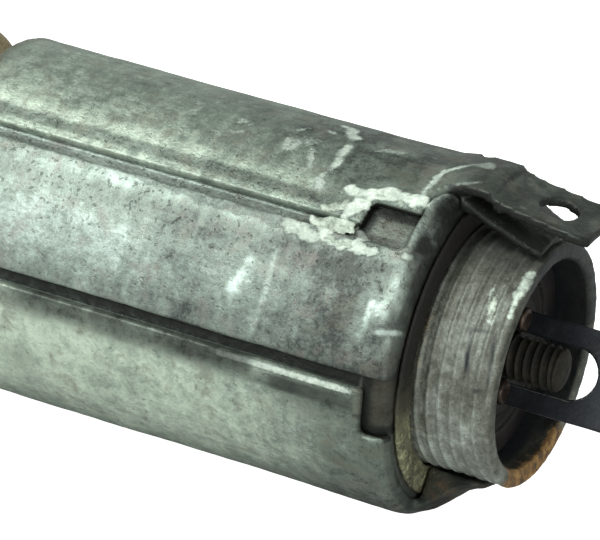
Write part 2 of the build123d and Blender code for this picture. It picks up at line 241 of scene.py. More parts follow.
# ---------------------------------------------------------------- node materials
class Paint:
    """One material, with the few kinds of node that its colour, roughness and bump are made of."""

    def __init__(self, name, metallic=0.0, specular=0.5):
        self.material = bpy.data.materials.new(name)
        self.material.use_nodes = True
        self.tree = self.material.node_tree
        self.shader = self.tree.nodes["Principled BSDF"]
        self.shader.inputs["Metallic"].default_value = metallic
        self.shader.inputs["Specular IOR Level"].default_value = specular
        self.place = self.tree.nodes.new("ShaderNodeTexCoord").outputs["Object"]

    def feed(self, socket, value):
        """Link a node's output to the socket, or set a plain value on it."""
        if isinstance(value, bpy.types.NodeSocket):
            self.tree.links.new(value, socket)
        else:
            socket.default_value = value

    def noise(self, size, detail=4.0, rough=0.55, stretch=(1, 1, 1), shift=0.0, warp=0.0):
        """Noise from 0 to 1 with features about 'size' mm; 'stretch' over 1 is finer along that axis."""
        mapping = self.tree.nodes.new("ShaderNodeMapping")
        self.feed(mapping.inputs["Vector"], self.place)
        mapping.inputs["Scale"].default_value = [s / (size * MM) for s in stretch]
        mapping.inputs["Location"].default_value = (shift, shift * 0.7, -shift * 1.3)
        texture = self.tree.nodes.new("ShaderNodeTexNoise")
        self.feed(texture.inputs["Vector"], mapping.outputs["Vector"])
        texture.inputs["Scale"].default_value = 1.0
        texture.inputs["Detail"].default_value = detail
        texture.inputs["Roughness"].default_value = rough
        texture.inputs["Distortion"].default_value = warp
        return texture.outputs["Fac"]

    def mark(self, name):
        """A number stored at the vertices."""
        node = self.tree.nodes.new("ShaderNodeAttribute")
        node.attribute_name = name
        return node.outputs["Fac"]

    def math(self, kind, a, b):
        """One arithmetic step on two numbers or outputs."""
        node = self.tree.nodes.new("ShaderNodeMath")
        node.operation = kind
        self.feed(node.inputs[0], a)
        self.feed(node.inputs[1], b)
        return node.outputs[0]

    def add(self, *terms):
        """The sum of (value, factor, middle) terms: factor * (value - middle)."""
        total = 0.0
        for value, factor, middle in terms:
            centred = self.math("SUBTRACT", value, middle)
            total = self.math("ADD", self.math("MULTIPLY", centred, factor), total)
        return total

    def step(self, value, low, high):
        """0 below low, 1 above high, smooth between."""
        node = self.tree.nodes.new("ShaderNodeMapRange")
        node.interpolation_type = "SMOOTHSTEP"
        self.feed(node.inputs["Value"], value)
        node.inputs["From Min"].default_value = low
        node.inputs["From Max"].default_value = high
        return node.outputs["Result"]

    def span(self, value, low, high):
        """Map 0..1 onto low..high."""
        return self.math("ADD", self.math("MULTIPLY", value, high - low), low)

    def blend(self, factor, a, b):
        """Mix two colours."""
        node = self.tree.nodes.new("ShaderNodeMix")
        node.data_type = "RGBA"
        self.feed(node.inputs[0], factor)
        self.feed(node.inputs[6], a if isinstance(a, bpy.types.NodeSocket) else (*a, 1.0))
        self.feed(node.inputs[7], b if isinstance(b, bpy.types.NodeSocket) else (*b, 1.0))
        return node.outputs[2]

    def ramp(self, value, *stops):
        """Colour from (position, colour) stops."""
        node = self.tree.nodes.new("ShaderNodeValToRGB")
        self.feed(node.inputs["Fac"], value)
        band = node.color_ramp
        while len(band.elements) < len(stops):
            band.elements.new(0.5)
        for element, (position, colour) in zip(band.elements, stops):
            element.position = position
            element.color = (*colour, 1.0)
        return node.outputs["Color"]

    def finish(self, colour, roughness, height=None, depth=0.0, metallic=None):
        """Link the results to the shader; 'depth' is the bump's full height in mm."""
        self.feed(self.shader.inputs["Base Color"], colour)
        self.feed(self.shader.inputs["Roughness"], roughness)
        if metallic is not None:
            self.feed(self.shader.inputs["Metallic"], metallic)
        if height is not None:
            bump = self.tree.nodes.new("ShaderNodeBump")
            bump.inputs["Strength"].default_value = 1.0
            bump.inputs["Distance"].default_value = depth * MM
            self.feed(bump.inputs["Height"], height)
            self.feed(self.shader.inputs["Normal"], bump.outputs["Normal"])
        return self.material


def weathered_zinc(name, dark, middle, light, tint):
    """Zinc plate gone dull: mottled grey with pale oxide, grime, brown stains and white crust, with painted
    light and shade from its vertex marks.
    """
    paint = Paint(name)
    blotch = paint.noise(4.5, detail=6, rough=0.62, shift=3.1, warp=0.6)
    patch = paint.noise(2.1, detail=6, rough=0.66, shift=12.5, warp=0.4)
    mottle = paint.noise(1.0, detail=5, rough=0.68, shift=7.7)
    grain = paint.noise(0.28, detail=3, rough=0.7, shift=1.3)
    drips = paint.noise(1.5, detail=4, rough=0.6, stretch=(1.5, 0.16, 0.16), shift=5.2)
    scratches = paint.noise(0.5, detail=3, rough=0.5, stretch=(0.06, 1.3, 1.3), shift=9.4)
    # The lightness mark carries painted light and shade.
    value = paint.add((paint.mark("tone"), 1.0, 0.0), (blotch, 0.7, 0.5), (patch, 0.5, 0.5),
                      (mottle, 0.9, 0.5), (grain, 0.6, 0.5), (drips, 0.35, 0.5), (scratches, 0.15, 0.5))
    colour = paint.ramp(value, (0.0, dark), (0.5, middle), (1.0, light))
    colour = paint.blend(paint.math("MULTIPLY", paint.step(patch, 0.50, 0.66), 0.6), colour, tint)
    pock = paint.noise(0.42, detail=2, rough=0.5, shift=15.0)
    pock_brown = (0.07, 0.062, 0.05)
    colour = paint.blend(paint.math("MULTIPLY", paint.step(pock, 0.66, 0.74), 0.42), colour, pock_brown)
    stain = paint.add((paint.mark("stain"), 1.0, 0.0), (mottle, 0.9, 0.5), (grain, 0.5, 0.5))
    stain_brown = (0.105, 0.088, 0.060)
    colour = paint.blend(paint.step(stain, 0.35, 0.95), colour, stain_brown)
    rust = paint.add((paint.mark("rust"), 1.0, 0.0), (mottle, 1.2, 0.5), (grain, 0.8, 0.5))
    rusty = paint.ramp(mottle, (0.35, (0.025, 0.017, 0.012)), (0.5, (0.085, 0.048, 0.024)),
                       (0.66, (0.24, 0.13, 0.05)))
    colour = paint.blend(paint.step(rust, 0.4, 0.9), colour, rusty)
    crust_value = paint.add((paint.mark("crust"), 1.0, 0.0), (mottle, 0.8, 0.5), (grain, 0.8, 0.5))
    crust = paint.step(crust_value, 0.28, 0.74)
    oxide = paint.ramp(paint.math("MULTIPLY", crust_value, 0.8), (0.36, (0.24, 0.28, 0.25)),
                       (0.58, (0.40, 0.46, 0.40)), (0.80, (0.62, 0.69, 0.60)), (0.97, (0.86, 0.92, 0.84)))
    colour = paint.blend(crust, colour, oxide)
    # Near-black from the dark mark: mostly painted shade in the gaps, the cut-outs, on the rear wall and
    # under the earth tab, with some dirt.
    soot = paint.add((paint.mark("soot"), 1.0, 0.0), (mottle, 0.6, 0.5), (grain, 0.3, 0.5))
    soot_black = (0.016, 0.018, 0.015)
    colour = paint.blend(paint.step(soot, 0.15, 0.95), colour, soot_black)
    dull = paint.math("MAXIMUM", crust, paint.step(rust, 0.4, 0.8))
    roughness = paint.span(paint.add((grain, 0.5, 0.3), (mottle, 0.6, 0.3), (dull, 0.5, 0.0)), 0.38, 0.80)
    metallic = paint.span(paint.math("SUBTRACT", 1.0, dull), 0.0, 0.5)
    height = paint.add((mottle, 0.5, 0.0), (grain, 0.45, 0.0), (crust, 0.35, 0.0), (blotch, 0.4, 0.0),
                       (paint.step(pock, 0.62, 0.74), -0.35, 0.0))
    return paint.finish(colour, roughness, height, 0.13, metallic)


def old_solder(name):
    """Pale, lumpy solder with a dull oxide skin, grey in its hollows."""
    paint = Paint(name)
    mottle = paint.noise(0.8, detail=5, rough=0.65, shift=2.0)
    grain = paint.noise(0.2, detail=3, rough=0.6, shift=4.0)
    value = paint.add((mottle, 1.3, 0.2), (grain, 0.6, 0.5))
    colour = paint.ramp(value, (0.05, (0.13, 0.15, 0.12)), (0.38, (0.42, 0.48, 0.40)),
                        (0.90, (0.86, 0.92, 0.83)))
    return paint.finish(colour, paint.span(grain, 0.35, 0.85), paint.add((mottle, 0.6, 0), (grain, 0.6, 0)),
                        0.12, 0.25)


def worn_thread(name):
    """Grey-brown steel thread: dirty in the roots, worn silver on the crests, stained in patches, with
    painted light, shade and highlights from its vertex marks.
    """
    paint = Paint(name)
    blotch = paint.noise(3.2, detail=5, rough=0.62, shift=1.9, warp=0.5)
    mottle = paint.noise(0.8, detail=5, rough=0.66, shift=6.0)
    grain = paint.noise(0.2, detail=3, rough=0.6, shift=8.0)
    sheet = paint.noise(1.6, detail=5, rough=0.6, stretch=(1.4, 0.35, 0.35), shift=4.4)
    # The lightness mark carries painted shade.
    value = paint.add((paint.mark("crest"), 0.10, 0.0), (paint.mark("tone"), 1.0, 0.0), (blotch, 0.8, 0.5),
                      (mottle, 0.8, 0.5), (grain, 0.5, 0.5), (sheet, 0.6, 0.5))
    colour = paint.ramp(value, (0.0, (0.040, 0.040, 0.032)), (0.35, (0.130, 0.135, 0.110)),
                        (0.62, (0.27, 0.29, 0.255)), (0.95, (0.56, 0.62, 0.56)))
    # Near-black from the dark mark, mostly painted shade.
    soot = paint.add((paint.mark("soot"), 1.0, 0.0), (mottle, 0.8, 0.5), (grain, 0.3, 0.5))
    soot_blue = (0.02, 0.024, 0.03)
    colour = paint.blend(paint.step(soot, 0.35, 0.9), colour, soot_blue)
    rust = paint.add((paint.mark("rust"), 1.0, 0.0), (mottle, 1.3, 0.5), (grain, 0.8, 0.5))
    rusty = paint.ramp(mottle, (0.34, (0.07, 0.040, 0.018)), (0.47, (0.22, 0.115, 0.04)),
                       (0.60, (0.42, 0.25, 0.09)))
    rust_cover = paint.step(rust, 0.4, 0.9)
    colour = paint.blend(rust_cover, colour, rusty)
    # The bright mark: painted highlights on the rim's chamfer and a pale patch on the thread.
    bright = paint.add((paint.mark("bright"), 1.0, 0.0), (mottle, 0.9, 0.5), (grain, 0.5, 0.5))
    rub_and_highlight = paint.ramp(mottle, (0.3, (0.36, 0.42, 0.38)), (0.6, (0.62, 0.70, 0.60)))
    colour = paint.blend(paint.step(bright, 0.3, 0.75), colour, rub_and_highlight)
    wear = paint.add((grain, 0.5, 0.3), (mottle, 0.6, 0.3), (rust_cover, 0.5, 0.0))
    roughness = paint.span(wear, 0.45, 0.85)
    metallic = paint.span(paint.math("SUBTRACT", 1.0, rust_cover), 0.0, 0.4)
    return paint.finish(colour, roughness, paint.add((mottle, 0.6, 0.0), (grain, 0.5, 0.0)), 0.10, metallic)


def passivated(name):
    """Olive passivated zinc with yellow speckles and brown grime, and near-black painted shade from a vertex
    mark.
    """
    paint = Paint(name)
    blotch = paint.noise(2.5, detail=5, rough=0.6, shift=2.7)
    mottle = paint.noise(0.7, detail=5, rough=0.7, shift=3.9)
    grain = paint.noise(0.22, detail=2, rough=0.6, shift=5.5)
    value = paint.add((blotch, 1.1, 0.05), (mottle, 1.3, 0.5), (grain, 1.0, 0.5))
    colour = paint.ramp(value, (0.10, (0.040, 0.036, 0.020)), (0.42, (0.13, 0.125, 0.080)),
                        (0.68, (0.25, 0.25, 0.15)), (0.95, (0.60, 0.60, 0.36)))
    # Painted shade, from the dark mark.
    soot = paint.add((paint.mark("soot"), 1.0, 0.0), (mottle, 0.6, 0.5), (grain, 0.4, 0.5))
    soot_black = (0.014, 0.012, 0.010)
    colour = paint.blend(paint.step(soot, 0.2, 0.9), colour, soot_black)
    return paint.finish(colour, paint.span(mottle, 0.45, 0.9), paint.add((mottle, 0.5, 0), (grain, 0.6, 0)),
                        0.08, 0.25)


def tarnished(name, dark, middle, light, lines=0.3):
    """A metal with blotches, fine grain and faint lines from drawing or turning."""
    paint = Paint(name, metallic=0.8)
    blotch = paint.noise(3.0, detail=5, rough=0.6, shift=1.1)
    mottle = paint.noise(0.7, detail=4, rough=0.65, shift=2.3)
    grain = paint.noise(0.18, detail=2, rough=0.5, shift=3.3)
    turning = paint.noise(0.5, detail=3, rough=0.5, stretch=(1.2, 0.05, 0.05), shift=6.1)
    value = paint.add((blotch, 1.0, 0.0), (mottle, 0.6, 0.5), (grain, 0.4, 0.5), (turning, lines, 0.5))
    colour = paint.ramp(value, (0.15, dark), (0.5, middle), (0.85, light))
    height = paint.add((mottle, 0.4, 0.0), (grain, 0.4, 0.0), (turning, lines, 0.0))
    roughness = paint.span(paint.add((mottle, 0.6, 0.2), (blotch, 0.6, 0.2)), 0.25, 0.65)
    return paint.finish(colour, roughness, height, 0.04)


def rusted(name):
    """Rust-brown steel with darker scale and a few orange spots."""
    paint = Paint(name)
    blotch = paint.noise(1.6, detail=5, rough=0.62, shift=5.0)
    mottle = paint.noise(0.5, detail=4, rough=0.7, shift=6.6)
    grain = paint.noise(0.15, detail=2, rough=0.6, shift=7.1)
    value = paint.add((blotch, 1.0, 0.0), (mottle, 0.7, 0.5), (grain, 0.4, 0.5))
    colour = paint.ramp(value, (0.15, (0.004, 0.004, 0.003)), (0.42, (0.013, 0.012, 0.008)),
                        (0.62, (0.030, 0.026, 0.017)), (0.9, (0.09, 0.075, 0.045)))
    return paint.finish(colour, paint.span(mottle, 0.55, 0.95), paint.add((mottle, 0.6, 0), (grain, 0.6, 0)),
                        0.07, paint.span(blotch, 0.1, 0.4))


def phenolic(name):
    """Dark brown moulded phenolic, filled with paper flock, with dust lying on it."""
    paint = Paint(name, specular=0.4)
    flock = paint.noise(0.5, detail=5, rough=0.7, stretch=(1, 2.2, 0.6), shift=2.2)
    dust = paint.noise(2.0, detail=5, rough=0.6, shift=8.8)
    value = paint.add((flock, 0.8, 0.0), (dust, 0.4, 0.5))
    colour = paint.ramp(value, (0.2, (0.006, 0.005, 0.006)), (0.5, (0.014, 0.010, 0.010)),
                        (0.85, (0.055, 0.036, 0.035)))
    return paint.finish(colour, paint.span(dust, 0.35, 0.8), flock, 0.05)


def blackened(name):
    """Blue-black oxide finish on sprung steel, rubbed grey along its edges."""
    paint = Paint(name, metallic=0.35)
    blotch = paint.noise(2.2, detail=5, rough=0.6, shift=4.1)
    grain = paint.noise(0.3, detail=4, rough=0.65, shift=5.9)
    rub = paint.step(paint.add((paint.mark("edge"), 1.0, 0.0), (grain, 0.9, 0.5)), 0.55, 0.95)
    colour = paint.ramp(paint.add((blotch, 0.8, 0.0), (grain, 0.6, 0.5)), (0.2, (0.006, 0.007, 0.010)),
                        (0.55, (0.020, 0.023, 0.030)), (0.85, (0.065, 0.070, 0.080)))
    bare_grey = (0.19, 0.19, 0.18)
    colour = paint.blend(rub, colour, bare_grey)
    return paint.finish(colour, paint.span(blotch, 0.32, 0.75), grain, 0.035)


def studio_floor():
    """Plain pale paper with a faint tooth, which glows enough to lose its shadow."""
    paint = Paint("floor_paper", specular=0.1)
    tooth = paint.noise(1.5, detail=3, rough=0.6)
    seen = paint.tree.nodes.new("ShaderNodeLightPath").outputs["Is Camera Ray"]
    paint.shader.inputs["Emission Color"].default_value = (1, 1, 1, 1)
    paint.feed(paint.shader.inputs["Emission Strength"], paint.span(seen, 0.0, 1.1))
    return paint.finish(paint.ramp(tooth, (0.3, (0.55, 0.55, 0.55)), (0.7, (0.58, 0.58, 0.58))), 0.9)


# ---------------------------------------------------------------- marks on the clamping shell
CRUST_TRAILS = [          # half-width in mm, strength, and the (x, degrees) points of each trail
    (0.42, 0.52, [(22.0, 50.3), (27.0, 49.6), (32.0, 49.0), (36.0, 48.2)]),
    (0.60, 0.84, [(35.8, 48.0), (38.6, 47.2)]),
    (0.55, 0.96, [(38.6, 47.2), (41.2, 47.2), (42.8, 47.4)]),
    (0.70, 1.00, [(38.6, 49.0), (39.2, 54.5), (40.0, 61.4)]),
    (0.45, 1.00, [(40.4, 53.6), (41.6, 51.6)]),
    (0.45, 1.10, [(39.0, 65.8), (41.0, 68.3), (42.9, 69.6), (44.7, 69.4)]),
    (0.26, 0.84, [(44.4, 72.0), (44.3, 78.5), (44.7, 86.0), (45.4, 90.0)]),
    (0.46, 0.74, [(45.0, 87.5), (46.0, 91.0), (47.4, 92.0)]),
    (0.20, 0.70, [(45.1, 70.0), (46.1, 77.0), (47.9, 81.0)]),
    (0.32, 0.78, [(36.3, 62.9), (35.9, 67.7), (36.4, 74.6), (36.1, 86.2)]),
    (0.46, 0.74, [(36.0, 90.0), (34.8, 99.0), (34.0, 100.2)]),
    (0.26, 0.66, [(34.6, 71.6), (33.9, 78.9)]),
    (0.50, 0.66, [(32.1, 78.6), (31.9, 80.5)]),
    (0.42, 0.66, [(31.7, 87.5), (32.1, 90.2)]),
    (0.26, 0.62, [(33.6, 92.2), (34.0, 92.6)]),
    (0.24, 0.62, [(30.6, 105.0), (31.0, 106.0)]),
    (0.18, 0.40, [(39.2, 90.2), (40.8, 91.9), (42.8, 95.1)]),
    (0.26, 0.90, [(45.5, 49.0), (45.8, 49.4)]),
    (0.18, 0.75, [(46.6, 57.0), (46.9, 58.5)]),
]
RIB_HIGHLIGHTS = [                # half-width in mm, strength, and the (x, degrees) points of each soft painted highlight
    (1.25, 0.90, [(33.1, 25.0), (33.3, 27.5)]),
    (0.70, 0.45, [(33.3, 28.0), (33.6, 34.0)]),
    (0.34, 0.30, [(35.2, 12.0), (35.6, 26.0), (35.3, 40.0)]),
    (0.30, 0.12, [(24.0, 13.0), (24.4, 27.0), (24.1, 42.0)]),
    (0.30, 0.12, [(28.6, 12.0), (28.1, 28.0), (28.6, 44.0)]),
    (0.30, 0.18, [(38.6, 14.0), (39.0, 34.0)]),
    (1.30, 0.62, [(45.2, 30.0), (45.6, 35.0), (45.9, 42.0)]),
    (0.40, 0.60, [(44.0, 20.0), (44.2, 32.0)]),
    (0.30, 0.75, [(45.2, 23.6), (46.7, 25.0)]),
    (0.40, 0.40, [(45.9, 16.0), (46.2, 22.0)]),
]
FLECKS = [                # centre (x, degrees), reach in mm and strength of a spatter of fine flecks
    (22.5, 84.0, 2.0, 0.55), (27.5, 82.0, 2.2, 0.62), (33.0, 84.0, 2.6, 0.50), (39.5, 88.0, 2.6, 0.55),
    (12.0, 46.0, 4.0, 0.32), (17.0, 66.0, 5.0, 0.42), (26.0, 60.0, 4.5, 0.42), (52.0, 84.0, 2.0, 0.60),
    (55.5, 90.0, 2.2, 0.55), (40.0, -20.0, 3.0, 0.50),
]
SOLDER_TRAILS = [         # half-width in mm, sink below the surface in mm, and points the lumps follow
    (0.60, 0.42, [(37.2, 52.4), (38.6, 53.5), (40.0, 54.0)]),
    (0.50, 0.40, [(39.4, 49.0), (39.8, 53.0), (39.8, 59.0)]),
    (0.45, 0.12, [(37.4, 57.6), (38.6, 58.6), (39.6, 60.0)]),
    (0.26, 0.08, [(38.6, 47.6), (40.0, 47.2), (41.2, 47.8)]),
    (0.26, 0.08, [(39.4, 63.8), (40.4, 66.8), (42.4, 67.2), (44.4, 67.0)]),
    (0.16, 0.06, [(43.4, 69.0), (44.2, 71.0)]),
]
UPPER_TONE = [            # lightness of each panel with painted light and shade in it, as (x, lightness) stops: paler where the light falls in front, darker to the rear
    (8, 0.72), (24, 0.66), (28, 0.50), (36, 0.46), (37, 0.36), (46, 0.30),
]
RIB_TONE = [
    (8, 0.68), (13, 0.66), (20, 0.62), (24, 0.52), (28, 0.36), (33, 0.50), (37, 0.32), (41, 0.18),
    (44, 0.30), (46, 0.22),
]
LOWER_TONE = [(8, 0.92), (20, 0.88), (30, 0.82), (36, 0.70), (41, 0.42), (46, 0.30)]
FAR_TONE = [(8, 0.60), (30, 0.50), (46, 0.32)]
# The neck's lightness along X, with painted shade darkening it next to the shell.
NECK_TONE = [(44, 0.24), (47.5, 0.40), (49, 0.38), (53.9, 0.26)]
RIM_HIGHLIGHTS = [              # strength, outer and inner half-width in mm, and points of each painted highlight on the rim
    (0.72, 0.80, 0.20, [(53.4, 68), (53.5, 62), (53.3, 56)]),
    (0.66, 0.50, 0.10, [(53.4, 54), (53.5, 45)]),
]
THREAD_RUB = [(51.4, 54), (51.9, 47), (52.1, 41)]

UPPER_WINDOW = (40.6, 45.2, 65.6)        # front, rear and upper side of the upper cut-out
LOWER_WINDOW = (44.6, -13.5)             # front and lower side of the lower cut-out
TAB_LOW, TAB_HIGH = 66, 125              # sides of the root of the earth tab and of the lug under it
LUG_LOW, LUG_HIGH = -110, -30            # sides of the lug below the neck
TAB_UNDERSIDE = 14.1                     # radius of the tab's underside at its root
TAB_FALL = 0.19                          # how much the tab comes in for each mm along X
FAR_LOW, FAR_HIGH = 100, 165             # where the near side's tones fade into the far side's


def shell_tone(s):
    """Lightness of the plate with painted light and shade in it: paler in front and in the middle where the
    light falls, darker towards the rear, the top and the bottom.
    """
    # Painted shade: the upper panel darkens towards the top.
    upper = along(s.x, UPPER_TONE) - 0.26 * ease(s.angle, 66, 92)
    rib = along(s.x, RIB_TONE)
    pale_edge = 0.26 * ease(s.angle, 42, 47) * ease(s.x, 11, 20)
    # Painted shade on the rib next to the lower gap and above 31 degrees, and a paler upper edge in front.
    rib -= 0.18 * ease(-s.angle, -24, -10) + 0.22 * ease(s.angle, 31, 41) - pale_edge
    lower = along(s.x, LOWER_TONE)
    # Painted shade: the lower panel darkens towards the bottom and next to the lower gap.
    lower -= 0.32 * ease(-s.angle, 24, 54) + 0.14 * ease(s.angle, -9, -2)
    # Beside the upper opening: a painted highlight along the cut edge, a painted shade line beyond it and a
    # lighter band past that.
    edge_highlight = ease(-np.abs(s.angle - OPENING_HIGH - 0.7), -1.5, -0.5)
    shade_line = ease(-np.abs(s.angle - OPENING_HIGH - 5.0), -2.8, -1.2)
    shoal = ease(-np.abs(s.angle - OPENING_HIGH - 9.6), -3.4, -1.2)
    dark_front = 0.10 * ease(-s.x, -14, -9) * ease(-s.angle, -62, -58)
    bands = 0.06 * edge_highlight * ease(s.x, 8, 20) - dark_front - 0.32 * shade_line + 0.16 * shoal
    upper += bands * ease(-s.x, -38.5, -36.5)
    # Soft painted highlights on the rib.
    for width, strength, path in RIB_HIGHLIGHTS:
        rib += strength * ease(-s.near(path), -width, -0.1) * (0.8 + 0.5 * cloud(s.points, 1.2, 2, seed=15))
    tone = np.where(s.angle > OPENING_HIGH - 2, upper, np.where(s.angle < OPENING_LOW + 2, lower, rib))
    far_side = ease(np.abs(s.angle), FAR_LOW, FAR_HIGH)
    return tone * (1 - far_side) + along(s.x, FAR_TONE) * far_side


def gap_shade(s):
    """Painted shade in the two gaps between the sleeve and the rib, and along the sleeve's lower edge."""
    sunk = ease(-s.radius, -CUP_R - 0.6, -CUP_R - 0.15)
    high = ease(s.angle, RIB_HIGH - 0.6, RIB_HIGH + 0.6) * ease(-s.angle, -OPENING_HIGH, -OPENING_HIGH + 1)
    low = ease(s.angle, OPENING_LOW - 0.6, OPENING_LOW + 0.2) * ease(-s.angle, -RIB_LOW - 6.0, -RIB_LOW + 1.0)
    painted_shade = np.maximum(high * (0.20 + 0.42 * sunk), low * (0.26 + 0.60 * sunk))
    spots = cloud(s.points, 3.0, 3, seed=23)
    # Painted shade on the lower panel just below its edge.
    front_band = ease(s.angle, -8.0, 1.0) * ease(s.x, 8, 17) * ease(-s.x, -36.5, -35.0)
    front_band *= 0.74 + 0.12 * spots
    rear_band = ease(-np.abs(s.angle + 1.2), -4.0, -1.4) * ease(s.x, 33.5, 35.5) * (0.56 + 0.20 * spots)
    under = np.maximum(front_band, rear_band) * (s.angle < OPENING_LOW + 1.0) * (s.radius > CUP_R + 0.1)
    return np.maximum(painted_shade * ease(-s.x, -44.9, -44.2), under * ease(-s.x, -45.0, -44.0))


def window_shade_and_stain(s):
    """Painted shade in the two cut-outs, black in the corners where their edges shade them, brown stain on
    their floors, and where the upper one is open.
    """
    low_front, low_side = LOWER_WINDOW
    low = (s.x > low_front) & (s.angle > low_side) & (s.angle < RIB_LOW) & (s.radius < CUP_R + 0.3)
    corner = np.maximum(ease(-s.x, -45.7, -45.1), ease(-s.angle, 7.5, 10.5))
    high_front, high_rear, high_side = UPPER_WINDOW
    high = (s.x > high_front) & (s.x < high_rear) & (s.radius < SHELL_R - 0.2)
    high = high & (s.angle > RIB_HIGH) & (s.angle < high_side)
    shade = np.maximum(ease(-s.x, -41.9, -41.2) * ease(s.angle, 53, 56), ease(s.angle, 60.5, 63.0))
    soot = np.maximum(low * (0.58 + 0.37 * corner), high * (0.36 + 0.60 * shade))
    return soot, low * 0.75 + high * 0.6, high * ease(s.angle, 54, 57)


def shell_crust(s):
    """White crust: trails and flecks of oxide, and a run along the rim of the lower panel."""
    wobble = cloud(s.points, 1.1, 3, seed=11)
    fleck_field = ease(cloud(s.points, 0.8, 2, seed=13), 0.25, 0.5)
    crust = np.zeros(len(s.x))
    for width, strength, path in CRUST_TRAILS:
        edge = s.near(path) - width * (1 + 1.0 * wobble)
        crust = np.maximum(crust, strength * ease(-edge, -0.45, 0.25))
    for x, angle, reach, strength in FLECKS:
        spatter = ease(-s.near([(x, angle)]), -reach, -reach * 0.4)
        crust = np.maximum(crust, strength * fleck_field * spatter)
    crust *= ease(s.facing_out, -0.2, 0.3)
    on_rim = ease(-np.abs(s.angle - OPENING_LOW + 1.6), -1.7, -0.7) * ease(s.x, 30.5, 33)
    on_rim *= s.radius > CUP_R + 0.4
    return np.maximum(crust, 0.86 * on_rim * ease(-s.x, -45.0, -43.5))


def shell_soot(s, under_tab):
    """Dark marks: painted shade in the gaps, on the rear wall and under the earth tab, mottled dirt on the
    rear bend with painted shade deepening towards the tab, and a darker earth tab.
    """
    # Painted shade on the rear wall, deeper towards the top.
    wall = ease(s.facing_rear, 0.45, 0.85) * ease(s.x, 45.3, 46.3)
    soot = np.maximum(gap_shade(s), wall * (0.50 + 0.30 * ease(s.angle, 20, 60)))
    bend = ease(s.x, 44.9, 46.2) * (s.angle > RIB_LOW) * (s.angle < 78)
    blotches = 0.46 + 0.42 * cloud(s.points, 1.6, 3, seed=25) + 0.26 * ease(s.angle, 42, 60)
    soot = np.maximum(soot, bend * blotches)
    tab = ease(s.x, 44.8, 46.4) * ease(s.angle, TAB_LOW, TAB_LOW + 6) * (s.angle < TAB_HIGH)
    soot = np.maximum(soot, (0.56 + 0.20 * cloud(s.points, 2.4, 3, seed=27)) * tab)
    # Painted shade on the tab's underside and under the tab.
    soot = np.maximum(soot, 0.95 * tab * ease(-s.facing_out, -0.85, -0.4))
    return np.maximum(soot, 0.95 * under_tab)


def shell_marks(piece, s):
    """Store the plate's lightness with painted light and shade, its crust, its dark marks (mostly painted
    shade), brown stains and rust, and return the crust.
    """
    # Painted shade under the earth tab.
    under_tab = (s.x > 47.0) & (s.x < 54.0) & (s.angle > TAB_LOW - 6) & (s.angle < TAB_HIGH)
    under_tab = under_tab & (s.radius < TAB_UNDERSIDE - TAB_FALL * (s.x - 47.0))
    window_soot, window_stain, window = window_shade_and_stain(s)
    crust = shell_crust(s) * (1 - under_tab) * (1 - window)
    soot = np.maximum(shell_soot(s, under_tab), window_soot)
    stain = 0.42 * ease(cloud(s.points, 5.0, 4, seed=31), -0.1, 0.5) * (s.angle < OPENING_LOW)
    stain *= ease(s.angle, -178, -130)
    stain = np.maximum(stain, 0.55 * ease(s.x, 33, 42) * ease(cloud(s.points, 3.0, 3, seed=33), -0.3, 0.5))
    stain = np.maximum(stain, window_stain)
    stain = np.maximum(stain, 0.62 * ease(s.x, 46.2, 46.8) * (s.angle < 66) * ease(-s.radius, -12.9, -12.3))
    stain = np.maximum(stain, 0.7 * ease(-s.x, -7.5, -5.2) * (s.angle > 0))
    lug = ease(s.x, 46.8, 47.8) * (s.angle < LUG_HIGH) * (s.angle > LUG_LOW)
    rust = lug * (0.52 + 0.30 * cloud(s.points, 1.4, 2, seed=41))
    # Painted shade over the lug's rust.
    soot = np.maximum(soot, lug * (0.62 + 0.35 * cloud(s.points, 1.8, 2, seed=43)))
    paint_marks(piece, tone=shell_tone(s), crust=crust, soot=soot, stain=stain, rust=rust)
    return crust


def shell_piece(node, name, material):
    """A dented, pitted and crusted skin for one of the shell's sheet parts."""
    piece = dense_copy(node, name, SHELL_VOXEL)
    surface = Surface(piece)
    crust = shell_marks(piece, surface)
    open_side = np.maximum(ease(surface.facing_out, 0.0, 0.4), ease(surface.facing_rear, 0.3, 0.7))
    dents = 0.075 * cloud(surface.points, 9.0, 2, seed=51) + 0.035 * cloud(surface.points, 2.2, 3, seed=52)
    pits = 0.05 * np.minimum(cloud(surface.points, 0.9, 2, seed=53) + 0.35, 0)
    lumps = 0.11 * crust * (0.6 + 0.6 * cloud(surface.points, 0.7, 2, seed=54))
    torn = 0.05 * ease(surface.x, SHELL_REAR, 48) * cloud(surface.points, 1.2, 3, seed=55)
    push(piece, surface, open_side * (dents + pits + lumps + torn))
    piece.data.materials.append(material)
    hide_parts(node)
    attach(piece, "clamping_shell")
    return piece


def add_lump(work, random, start, end, width, sink):
    """One flattened ball of solder at a chance place beside the line from start to end."""
    t = random.random()
    spread = width * 0.45
    x = start[0] + (end[0] - start[0]) * t + random.normal(0, spread)
    aside = math.degrees(random.normal(0, spread) / SHELL_R)
    angle = start[1] + (end[1] - start[1]) * t + aside
    size = 0.12 + width * random.uniform(0.2, 0.55)
    flatness = random.uniform(0.26, 0.48)
    ball = bmesh.ops.create_icosphere(work, subdivisions=2, radius=1.0)["verts"]
    scale = Matrix.Diagonal((size, size, size * flatness, 1.0))
    spin = Matrix.Rotation(math.radians(90 - angle), 4, "X")
    centre = Matrix.Translation((x, 0, SHELL_R + 0.03 - sink))
    bmesh.ops.transform(work, matrix=spin @ centre @ scale, verts=ball)


